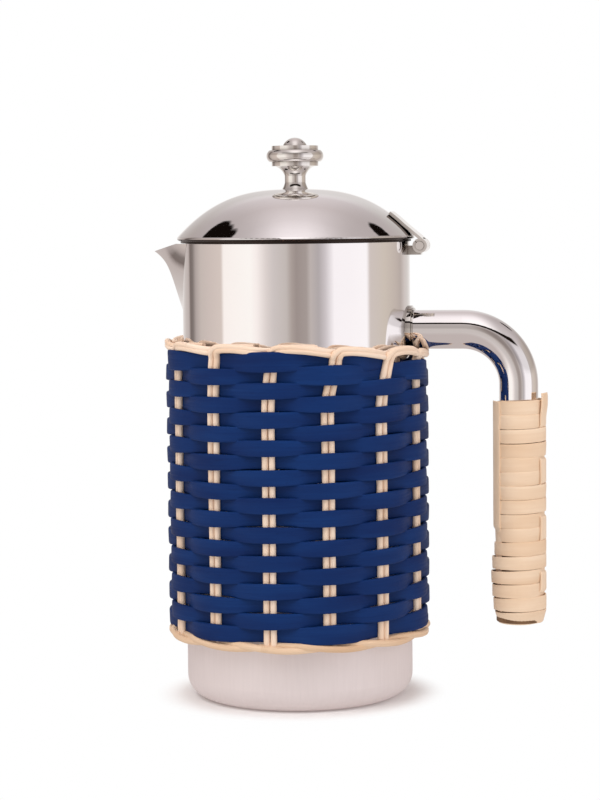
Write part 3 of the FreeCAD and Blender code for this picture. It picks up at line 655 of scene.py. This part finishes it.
@dataclass
class Sleeve:
    """The woven sleeve: upright stake pairs, one long navy weaver, a turned-down border and a twisted foot."""

    # Lengths are in mm and angles in degrees; azimuths are counted from the handle.
    pairs: int = 13
    first_pair: float = -11.4
    stake_circle: float = 55.3
    stake_section: Section = Section(1.37, 1.37, 2.2, 10)
    stake_half_gap: float = 1.44
    stake_heights: tuple = (29.6, 40.0, 62.0, 86.0, 110.0, 132.0, 144.0, 148.5)
    stake_bend: float = 6.5  # a stake turns over this far below the border
    # By pair: how far it stands to one side and how far it leans near the top.
    strays: tuple = ((0, -2.0, 0.6), (12, -1.9, 4.3), (11, -1.0, 3.6), (10, 0.4, 1.8), (9, 0.9, 0.8), (8, 0.5, 0.0))
    # A stake's end in the border: degrees past its own pair, rise from the border's middle, and radius.
    border: tuple = ((0.1, -4.0, 55.2), (0.4, -2.2, 55.8), (1.3, -0.75, 56.3), (3.0, 0.1, 56.7), (6.5, 0.5, 57.0),
                     (11.5, 0.45, 57.1), (17.0, 0.0, 57.0), (22.0, -0.6, 56.3), (25.5, -1.0, 54.9),
                     (29.5, -0.9, 53.4), (34.0, -0.2, 53.0), (41.0, 0.3, 53.2), (49.0, 0.3, 53.4))
    border_half_rise: float = 0.78  # the two canes of a pair lie this far above and below the middle
    border_height: float = 155.9
    dip: float = 4.7  # the border passes under the handle
    dip_spread: float = 16.3
    slump: float = 2.5  # and also sits lower in front of it
    slump_azimuth: float = -38.0
    slump_spread: float = 26.0
    weaver_section: Section = Section(0.90, 3.18, 7.0, 20)
    weaver_middle: float = 55.4  # radius between its ways in front of and behind the stakes
    weaver_swing: float = 1.85
    weaver_height: float = 138.7  # of its middle at the lead pair
    lead_pair: float = -94.5  # azimuth where the weaver's turns are counted from
    pitch: float = 6.075  # climb per turn
    weaver_start: float = -17 * 360.0 - 292.0
    weaver_thin: float = 220.0  # its first end is pared down over this much of a turn
    weaver_seat: float = 31.2  # its lower edge rests on the foot rim
    weaver_low: float = -17 * 360.0 + 52.0  # where the lowest turn is widest
    low_spread: float = 62.0
    weaver_tuck: float = 720.0 + 27.7  # past here the weaver stays behind
    weaver_end: float = 720.0 + 60.0
    weaver_steps: int = 10  # points from one pair to the next
    top_follows: float = 0.42  # share of the border's dip that the top turns take
    wander: float = 0.10  # how far the turns stray up and down
    foot_section: Section = Section(1.5, 1.5, 2.3, 12)
    foot_height: float = 29.7
    foot_circle: float = 55.8
    foot_aside: float = 1.15  # how far each of its two rounds swings in and out
    foot_rise: float = 0.85  # and up and down
    foot_steps: int = 9

    def rim_height(self, azimuth: float) -> float:
        """Height of the border's middle, lower under the handle and in front of it.

        Args:
            azimuth: Angle from the handle, in degrees.

        Returns:
            The height, in mm.
        """
        off = angle_from(0.0, azimuth)
        slumped = self.slump * math.exp(-(((off - self.slump_azimuth) / self.slump_spread) ** 2))
        return self.border_height - self.dip * math.exp(-((off / self.dip_spread) ** 2)) - slumped

    def weave(self) -> Piece:
        """Lays the weaver: one flat strip that climbs in front of and behind the stake pairs.

        Returns:
            The mesh object.
        """
        luck = random.Random(41)
        waves = [(luck.uniform(0.013, 0.06), luck.uniform(0.0, 6.28)) for _ in range(4)]
        run = Run()
        step = FULL_TURN / self.pairs / self.weaver_steps
        count = int((self.weaver_end - self.weaver_start) / step)
        for k in range(count + 1):
            turn = self.weaver_start + k * step
            swing = math.cos(math.radians(self.pairs / 2.0 * turn))
            azimuth = self.lead_pair + turn
            wander = sum(math.sin(rate * turn + phase) for rate, phase in waves)
            height = self.weaver_height + self.pitch * turn / FULL_TURN + self.wander * wander
            sag = self.border_height - self.rim_height(azimuth)
            height -= self.top_follows * sag * ease(height, 132.0, 147.0)
            height -= 0.9 * ease(turn, 730.0, 752.0)
            if turn > self.weaver_tuck:
                past = (turn - self.weaver_tuck) * self.pairs / FULL_TURN
                swing = -1.0 + 0.85 * math.sin(math.pi * past) ** 2
            # Flatter where it passes a pair than a plain wave would be.
            radius = self.weaver_middle + self.weaver_swing * (1.16 * swing - 0.16 * swing ** 3)
            width = 1.0 + 0.11 * swing + 0.012 * math.sin(3.1 * wander)
            width *= 1.0 + 0.24 * ease(turn, 330.0, 400.0)
            width *= 0.35 + 0.65 * ease(turn, self.weaver_start, self.weaver_start + self.weaver_thin)
            low = math.exp(-(((turn - self.weaver_low) / self.low_spread) ** 2))
            width *= 1.0 + 0.2 * low
            height = max(height - 0.7 * low, self.weaver_seat + self.weaver_section.half_wide * width)
            tilt = 2.2 * math.sin(1.7 * wander + 0.02 * turn)
            run.step(around(radius, azimuth, height), width, math.radians(tilt))
        return lay_canes("navy_weaver", [run], self.weaver_section, Twist.UPRIGHT)

    def stake(self, pair: int, side: int, luck: random.Random) -> Run:
        """One cane of a pair: up the sleeve, over to the right and behind the next pair.

        Args:
            pair: The pair's number.
            side: -1 for the left cane of the pair and 1 for the right one.
            luck: The source of small differences.

        Returns:
            The cane's run.
        """
        stray, tilt = {number: (aside, tilt) for number, aside, tilt in self.strays}.get(pair, (0.0, 0.0))
        middle = self.first_pair + FULL_TURN / self.pairs * pair + stray
        aside = math.degrees(side * self.stake_half_gap / self.stake_circle)
        top = self.stake_heights[-1]
        run = Run()
        for height in self.stake_heights:
            height = min(height, self.rim_height(middle) - self.stake_bend + (height - top) * 0.3)
            bend = tilt * ease(height, 133.0, 152.0)
            radius = self.stake_circle + luck.uniform(-0.12, 0.12)
            azimuth = middle + aside + bend + luck.uniform(-0.10, 0.10)
            run.step(around(radius, azimuth, height), 1.0 + luck.uniform(-0.04, 0.04))
        middle += tilt
        over = -side * self.border_half_rise
        for ahead, rise, radius in self.border:
            azimuth = middle + aside * (1.0 - 0.7 * ease(ahead, 0.0, 5.0)) + ahead
            share = ease(ahead, 0.3, 3.5)
            run.step(around(radius, azimuth, self.rim_height(azimuth) + rise + over * share), 1.0 - 0.15 * share)
        return spline_through(run, 5)

    def stakes(self) -> Piece:
        """Lays all the stakes, with their ends turned over as the border.

        Returns:
            The mesh object.
        """
        luck = random.Random(7)
        runs = [self.stake(pair, side, luck) for pair in range(self.pairs) for side in (-1, 1)]
        return lay_canes("cane_stakes", runs, self.stake_section, Twist.LEAST)

    def foot(self) -> Piece:
        """Lays the foot rim: one cane that goes round twice, twisted with itself under the stakes.

        Returns:
            The mesh object.
        """
        luck = random.Random(19)
        run = Run(closed=True)
        steps = 2 * self.pairs * self.foot_steps
        for k in range(steps):
            turn = 2.0 * FULL_TURN * k / steps
            phase = math.radians(self.pairs / 2.0 * turn)
            height = self.foot_height - self.foot_rise * math.sin(phase + 0.5) + luck.uniform(-0.03, 0.03)
            run.step(around(self.foot_circle + self.foot_aside * math.cos(phase), self.lead_pair + turn, height))
        return lay_canes("foot_rim", [run], self.foot_section, Twist.LEAST)

    def build(self, natural: Finish, navy: Finish, foot_cane: Finish) -> None:
        """Builds and dresses the sleeve's pieces.

        Args:
            natural: The stakes' finish.
            navy: The weaver's finish.
            foot_cane: The foot rim's finish, a deeper cane tone than the stakes'.
        """
        dress(self.weave(), navy, "sleeve_weaver", slot=Slot.NAVY)
        dress(self.stakes(), natural, "sleeve_stakes", "sleeve_top_rim")
        dress(self.foot(), foot_cane, "sleeve_bottom_rim")


@dataclass
class Grip:
    """The cane binding on the handle: a long strip wound in close turns over and under two upright strips."""

    # Lengths are in mm; angles round the grip are in degrees from +X.
    axis_x: float = 97.5
    low: float = 32.6
    high: float = 131.0
    foot_top: float = 40.5  # below this the binding tapers in
    foot_full: float = 34.6
    wrap_section: Section = Section(0.38, 3.1, 5.0, 14)
    wrap_radius: float = 10.75
    wrap_margin: float = 2.9  # the strip's middle stays this far from the grip's ends
    turns: int = 16
    turn_steps: int = 40
    core_radius: float = 10.0
    core_inner: float = 8.6
    strip_low: float = 33.4
    strip_thick: float = 0.7
    strip_half_wide: float = 3.1
    strip_half_angle: float = 19.0  # a turn bends over a strip this far each way
    outer_angle: float = -16.0
    outer_top: float = 134.2
    inner_angle: float = 209.0
    inner_top: float = 130.6
    pot_side: float = 189.0  # middle of the loose stretch
    tuck: float = 1.6  # half the height over which a strip goes over or under
    # Where the outer strip goes over (1) and under (-1) the turns: top, bottom and side.
    outer_reach: tuple = ((134.6, 118.5, 1), (118.5, 106.3, -1), (106.3, 93.8, 1), (93.8, 81.2, -1),
                          (81.2, 69.0, 1), (69.0, 56.8, -1), (56.8, 46.5, 1), (46.5, 30.0, -1))
    # How far the turns stand out on the pot's side, by height, where no strip holds them down.
    slack: tuple = ((30.0, 0.1), (36.5, -0.3), (39.6, 0.1), (46.2, 0.7), (52.9, 1.15), (59.6, 0.7), (66.3, -0.3),
                    (72.0, -0.75), (76.0, -0.25), (140.0, -0.25))

    def foot(self, height: float) -> float:
        """1 at the tapered lower end, 0 above it."""
        return 1.0 - ease(height, self.foot_full, self.foot_top)

    def outer_strip_over(self, height: float) -> float:
        """Says where the outer strip lies.

        Args:
            height: Height above the base, in mm.

        Returns:
            1 where it lies over the turns and -1 where it lies under them.
        """
        value = 0.0
        for top, bottom, side in self.outer_reach:
            below_top = 1.0 - ease(height, top - self.tuck, top + self.tuck)
            value += side * ease(height, bottom - self.tuck, bottom + self.tuck) * below_top
        return value

    def inner_strip_over(self, height: float) -> float:
        """1 where the inner strip lies over the turns and -1 below its lower tuck."""
        return 2.0 * ease(height, 73.0, 76.0) - 1.0

    def loose(self, height: float) -> float:
        """Says how far the turns stand out on the pot's side.

        Args:
            height: Height above the base, in mm.

        Returns:
            The distance, in mm.
        """
        for (low, first), (high, second) in zip(self.slack, self.slack[1:]):
            if height <= high:
                return first + (second - first) * ease(height, low, high)
        return self.slack[-1][1]

    def place(self, radius: float, angle: float, height: float) -> Vector:
        """A point round the grip's axis, at an angle from +X in degrees, in metres."""
        turn = math.radians(angle)
        return Vector((self.axis_x + radius * math.cos(turn), radius * math.sin(turn), height)) * MM

    def wrap(self) -> Piece:
        """Winds the long strip, from the bottom to the top.

        Returns:
            The mesh object.
        """
        def near(middle: float, angle: float, spread: float) -> float:
            """1 at the middle angle, falling to nothing beyond the spread."""
            return math.exp(-((angle_from(middle, angle) / spread) ** 4))

        luck = random.Random(23)
        run = Run()
        pitch = (self.high - self.low) / self.turns
        shifts = [luck.uniform(-0.28, 0.28) for _ in range(self.turns + 2)]
        for k in range(self.turns * self.turn_steps + 1):
            turn = k / self.turn_steps
            angle = 90.0 + FULL_TURN * turn
            share = turn - math.floor(turn)
            shift = shifts[int(turn)] * (1.0 - share) + shifts[int(turn) + 1] * share
            height = self.low + pitch * (turn + 0.11 * math.sin(2.0 * math.pi * share)) + shift
            height = min(max(height, self.low + self.wrap_margin), self.high - self.wrap_margin)
            foot = self.foot(height)
            over = self.outer_strip_over(height)
            radius = self.wrap_radius
            radius += near(self.outer_angle, angle, self.strip_half_angle) * (-0.1 if over > 0.0 else 1.0) * abs(over)
            radius += near(self.pot_side, angle, 60.0) * self.loose(height) - 0.95 * foot
            # The turns lie a little apart on the pot's side, most of all below the inner strip's tuck.
            gap = 0.09 * (1.0 - ease(height, 66.0, 76.0)) * near(self.pot_side, angle, 75.0)
            gap = gap + 0.05 * near(self.inner_angle, angle, self.strip_half_angle) + 0.03 * foot
            lean = 1.6 + 1.3 * math.sin(2.1 * turn) + 17.0 * foot
            run.step(self.place(radius, angle, height), 1.0 - gap + 0.015 * math.sin(5.0 * turn), math.radians(lean))
        return lay_canes("grip_wrap_strip", [run], self.wrap_section, Twist.UPRIGHT)

    def strip(self, name: str, middle: float, top: float, radius_at: Callable[[float], float]) -> Piece:
        """Lays an upright strip along the grip.

        Args:
            name: The piece's name.
            middle: Where its middle lies round the grip, degrees from +X.
            top: Height of its upper end, in mm.
            radius_at: The distance of its outer face from the grip's axis at a height, in mm.

        Returns:
            The mesh object.
        """
        clear_selection()
        bpy.ops.mesh.primitive_grid_add(x_subdivisions=8, y_subdivisions=130, size=2.0, location=(0, 0, 0))
        piece = named(name)
        places: list[float] = []
        for vertex in piece.data.vertices:
            across, share = vertex.co.x, (vertex.co.y + 1.0) / 2.0
            height = self.strip_low + (top - self.strip_low) * share
            radius = radius_at(height)
            wide = self.strip_half_wide * (1.0 + 0.03 * math.sin(0.31 * height))
            vertex.co = self.place(radius, middle + math.degrees(across * wide / self.wrap_radius), height)
            places += (height * MM, across * wide * MM, radius * MM)
        store_fibres(piece, places)
        thicken(piece, self.strip_thick, 0.18, SMOOTH_ANGLE)
        return piece

    def strips(self) -> list[Piece]:
        """Lays the two upright strips that the turns pass over and under.

        Returns:
            The outer strip and the inner one.
        """
        def outer(height: float) -> float:
            """The outer strip's face."""
            over = self.outer_strip_over(height)
            lifted = (1.15 if over > 0.0 else -0.2) * abs(over)
            return self.wrap_radius + lifted + 0.75 * ease(height, 122.0, 130.0) - 1.5 * self.foot(height)

        def inner(height: float) -> float:
            """The inner strip's face."""
            over = self.inner_strip_over(height)
            return self.wrap_radius + (0.62 if over > 0.0 else 0.4) * over - 1.3 * self.foot(height)

        return [self.strip("grip_outer_lead", self.outer_angle, self.outer_top, outer),
                self.strip("grip_inner_lead", self.inner_angle, self.inner_top, inner)]

    def core(self) -> Piece:
        """Makes the packing under the turns: an open tube with rounded ends.

        Returns:
            The mesh object.
        """
        clear_selection()
        span, middle = self.high - self.low - 2.0, (self.low + self.high) / 2.0
        bpy.ops.mesh.primitive_cylinder_add(vertices=48, radius=self.core_radius * MM, depth=span * MM,
                                            end_fill_type="NOTHING", location=(self.axis_x * MM, 0.0, middle * MM))
        piece = named("grip_core")
        bpy.ops.object.transform_apply()
        edit_all()
        bpy.ops.mesh.subdivide(number_cuts=2)
        close_edit()
        thicken(piece, self.core_radius - self.core_inner, 0.45, 40.0)
        places: list[float] = []
        for vertex in piece.data.vertices:
            x, y, z = vertex.co
            places += (z, math.atan2(y, x - self.axis_x * MM) * self.core_radius * MM, 0.0)
        store_fibres(piece, places)
        return piece

    def build(self, peel: Finish, packing: Finish) -> None:
        """Builds and dresses the grip's pieces.

        Args:
            peel: The strips' finish.
            packing: The core's finish.
        """
        dress(self.core(), packing)
        dress(self.wrap(), peel, "grip_wrap")
        outer, inner = self.strips()
        dress(outer, peel, "grip_outer_strip")
        dress(inner, peel, "grip_inner_strip")


@dataclass
class Studio:
    """Floor, soft studio light and the camera."""

    # Lengths are in metres and angles in degrees.
    eye_azimuth: float = -81.0  # from the handle
    eye_distance: float = 1.035
    eye_height: float = 0.2146
    pitch_down: float = 4.65
    side_step: float = 0.00108
    roll: float = 0.6
    lens: float = 105.75
    sensor: float = 36.0
    lit_height: float = 0.11  # the lamps point at the pot's axis here
    floor_radius: float = 6.0
    mirrored_floor: float = 0.55  # polished metal sees the floor only this far out
    paint_ends: tuple = (0.0485, 0.066)  # the shaded paint turns into an even white between these radii
    # painted shade: the floor as polished metal sees it, glowing this tone
    mirrored_floor_shade: tuple = (192, 180, 177)
    side_tone: tuple = (172, 162, 161)  # the roof far to the left and right
    line_tone: tuple = (26, 18, 14)  # a dark line high in front
    gap_tone: tuple = (16, 10, 8)
    # Dark openings behind the pot: degrees from the eye, degrees up and half their width.
    gaps: tuple = ((-131.0, 44.0, 6.8), (-124.0, 49.0, 5.4), (-117.5, 54.5, 3.0), (132.0, 42.0, 4.8))
    # Tones round the horizon, as the polished wall shows them: degrees to the right of the eye, and a tone.
    horizon: tuple = (
        (-180, 250, 246, 244), (-152, 205, 196, 192), (-140, 190, 178, 174), (-135, 122, 110, 106),
        (-129, 128, 118, 114), (-122, 176, 164, 160), (-112, 198, 186, 180), (-98, 206, 192, 186),
        (-81, 214, 200, 193), (-78, 252, 244, 240), (-47, 255, 250, 246), (-40, 250, 241, 238),
        (-30, 222, 212, 209), (-23, 207, 198, 196), (-10, 196, 187, 183), (-5, 172, 160, 155),
        (0, 158, 146, 142), (10, 166, 155, 151), (14, 190, 180, 177), (22, 178, 170, 171),
        (29, 206, 198, 201), (38, 252, 246, 249), (75, 255, 250, 252), (79, 208, 197, 192),
        (100, 206, 194, 183), (120, 194, 181, 173), (130, 184, 172, 166), (140, 206, 196, 192),
        (152, 214, 208, 204), (168, 246, 242, 240), (180, 250, 246, 244))
    # Tones overhead, from straight above the eye's side (0) over the top (90) to the far side (180).
    ceiling: tuple = (
        (0, 214, 204, 203), (36, 206, 196, 194), (44, 255, 248, 247), (62, 254, 246, 246),
        (82, 240, 231, 232), (100, 214, 204, 204), (120, 198, 187, 186), (140, 206, 197, 197),
        (156, 236, 230, 231), (180, 252, 250, 250))

    def direction(self, azimuth: float, elevation: float) -> Vector:
        """A unit direction from an azimuth counted from the eye, to the right, and an elevation, in degrees."""
        turn, rise = math.radians(self.eye_azimuth + azimuth), math.radians(elevation)
        return Vector((math.cos(turn) * math.cos(rise), math.sin(turn) * math.cos(rise), math.sin(rise)))

    def world(self) -> None:
        """The room: pale walls, two tall soft panels, a wide overhead one and the gaps between them."""
        room = bpy.data.worlds.new("studio")
        bpy.context.scene.world = room
        graph = Graph(room)
        way = graph.add("TexCoord").outputs["Generated"]

        def along(axis: Vector) -> Socket:
            """How far the direction points along an axis."""
            return graph.add("VectorMath", {"operation": "DOT_PRODUCT"}, i0=way, i1=tuple(axis)).outputs["Value"]

        right, near = along(self.direction(90.0, 0.0)), along(self.direction(0.0, 0.0))
        up = along(Vector((0.0, 0.0, 1.0)))
        azimuth = graph.spread(graph.math("ARCTAN2", right, near), -math.pi, math.pi)
        walls = graph.ramp(azimuth, [((a + 180.0) / FULL_TURN, linear(*tone)) for a, *tone in self.horizon])
        over = graph.spread(graph.math("ARCTAN2", up, near), 0.0, math.pi)
        roof = graph.ramp(over, [(a / 180.0, linear(*tone)) for a, *tone in self.ceiling])
        height = graph.math("DEGREES", graph.math("ARCSINE", up))
        aside = graph.math("ABSOLUTE", right)
        roof = graph.mix(graph.spread(aside, 0.06, 0.50, 0.0, 0.75, smooth=True),
                         graph.mix(1.0, roof, (1.10, 1.10, 1.11, 1.0), "MULTIPLY"), linear(*self.side_tone))
        walls = graph.mix(graph.spread(height, 4.0, 12.0, smooth=True), walls,
                          graph.mix(1.0, walls, (0.76, 0.75, 0.75, 1.0), "MULTIPLY"))
        tone = graph.mix(graph.spread(height, 24.0, 40.0, smooth=True), walls, roof)
        front = graph.spread(near, 0.30, 0.42)
        line = graph.math("MULTIPLY", graph.spread(height, 32.6, 34.6), graph.spread(height, 42.4, 43.6, 1.0, 0.0))
        tone = graph.mix(graph.math("MULTIPLY", line, front), tone, linear(*self.line_tone))
        for side, lift, size in self.gaps:
            patch = along(self.direction(side, lift))
            gap = graph.spread(patch, math.cos(math.radians(size + 1.4)), math.cos(math.radians(size)))
            tone = graph.mix(gap, tone, linear(*self.gap_tone))
        tone = graph.mix(graph.add("LightPath").outputs["Is Camera Ray"], tone, WHITE)
        graph.surface(graph.add("Background", Color=tone), "OutputWorld")

    def floor(self) -> None:
        """A wide pale floor, shaded by the pot close to it and evenly white farther out; to polished metal it glows
        with a flat painted shade instead.
        """
        clear_selection()
        bpy.ops.mesh.primitive_circle_add(vertices=96, radius=self.floor_radius, fill_type="NGON", location=(0, 0, 0))
        ground = bpy.context.object
        ground.name = "studio_floor"
        edit_all()
        bpy.ops.mesh.inset(thickness=self.floor_radius * 0.6)
        close_edit()
        finish = bpy.data.materials.new("pale_floor")
        graph = Graph(finish)
        place = graph.add("TexCoord").outputs["Object"]
        reach = graph.add("VectorMath", {"operation": "LENGTH"}, i0=place).outputs["Value"]
        mirrored = graph.add("LightPath").outputs["Is Glossy Ray"]
        far = graph.spread(reach, self.mirrored_floor * 0.5, self.mirrored_floor)
        far = graph.math("MULTIPLY", far, mirrored)
        # Painted shade: glossy rays see the floor glow darker, standing in for its shadow near the pot.
        shade = graph.mix(mirrored, WHITE, linear(*self.mirrored_floor_shade))
        grain = graph.spread(graph.noise(place, 60.0, 3.0), 0.3, 0.7, 0.92, 0.95)
        pale = graph.add("CombineColor", i0=grain, i1=grain, i2=grain).outputs[0]
        paint = graph.add("BsdfPrincipled", Base_Color=pale, Roughness=0.9)
        glow = graph.add("Emission", Color=shade)
        glows = graph.math("MAXIMUM", graph.spread(reach, *self.paint_ends, smooth=True), mirrored)
        open_floor = graph.add("MixShader", i0=glows, i1=paint.outputs[0], i2=glow.outputs[0])
        clear = graph.add("BsdfTransparent")
        graph.surface(graph.add("MixShader", i0=far, i1=open_floor.outputs[0], i2=clear.outputs[0]))
        ground.data.materials.append(finish)

    def lamp(self, name: str, azimuth: float, elevation: float, distance: float, size: float, power: float,
             tone: tuple) -> None:
        """A soft square lamp that polished metal doesn't show.

        Args:
            name: The lamp's name.
            azimuth: Degrees from the eye, to the right.
            elevation: Degrees above the horizon.
            distance: Metres from the point that it lights.
            size: Side of the lamp, in metres.
            power: Watts.
            tone: Its colour.
        """
        clear_selection()
        way = self.direction(azimuth, elevation)
        bpy.ops.object.light_add(type="AREA", location=Vector((0.0, 0.0, self.lit_height)) + way * distance)
        lamp = bpy.context.object
        lamp.name = name
        lamp.rotation_euler = (-way).to_track_quat("-Z", "Y").to_euler()
        lamp.data.size, lamp.data.energy, lamp.data.color = size, power, tone
        lamp.visible_glossy = False

    def camera(self) -> None:
        """The camera, just above the rim's height and a little to the handle's side of square on."""
        eye = self.direction(0.0, 0.0) * self.eye_distance
        eye.z = self.eye_height
        aim = self.direction(90.0, 0.0) * self.side_step
        aim.z = self.eye_height - self.eye_distance * math.tan(math.radians(self.pitch_down))
        bpy.ops.object.camera_add(location=eye)
        camera = bpy.context.object
        camera.name = "front_camera"
        facing = (aim - eye).to_track_quat("-Z", "Y").to_matrix()
        camera.rotation_euler = (facing @ Matrix.Rotation(math.radians(-self.roll), 3, "Z")).to_euler()
        camera.data.lens, camera.data.sensor_width = self.lens, self.sensor
        bpy.context.scene.camera = camera

    def build(self) -> None:
        """Sets the stage."""
        self.camera()
        self.world()
        self.floor()
        self.lamp("key_lamp", -38.0, 50.0, 1.6, 1.1, 12.0, (1.0, 0.985, 0.97))
        self.lamp("fill_lamp", 55.0, 35.0, 1.7, 1.2, 6.5, (0.98, 0.985, 1.0))
        self.lamp("top_lamp", 180.0, 75.0, 1.7, 1.4, 9.0, (1.0, 1.0, 1.0))
        view = bpy.context.scene.view_settings
        view.view_transform, view.look, view.exposure, view.gamma = "Standard", "None", 0.0, 1.0


def main() -> None:
    """Builds the scene in order and notes its size."""
    Studio().build()
    Metalwork(frame["nodes"]).build()
    natural = Cane(linear(252, 231, 211), linear(236, 203, 174), linear(166, 126, 90)).material("natural_cane_core")
    navy = Cane(linear(15, 51, 107), linear(10, 37, 88), linear(8, 20, 50), roughness=0.52, fibre_depth=0.0003,
                gloss=0.13, flecks=0.45).material("navy_dyed_cane")
    peel = Cane(linear(242, 216, 188), linear(230, 196, 162), linear(184, 142, 102), roughness=0.46,
                fibre_scale=1100.0, fibre_depth=0.00012, gloss=0.45, flecks=0.2).material("cane_peel")
    packing = Cane(linear(132, 98, 66), linear(98, 70, 46), linear(60, 40, 26)).material("cane_packing")
    # A deeper cane tone for the foot rim than for the stakes.
    foot_cane = Cane(linear(236, 206, 176), linear(214, 176, 140), linear(150, 110, 74)).material("foot_cane_core")
    Sleeve().build(natural, navy, foot_cane)
    Grip().build(peel, packing)


if __name__ == "__main__":
    logging.basicConfig(level=logging.INFO, format="%(name)s: %(message)s")
    main()
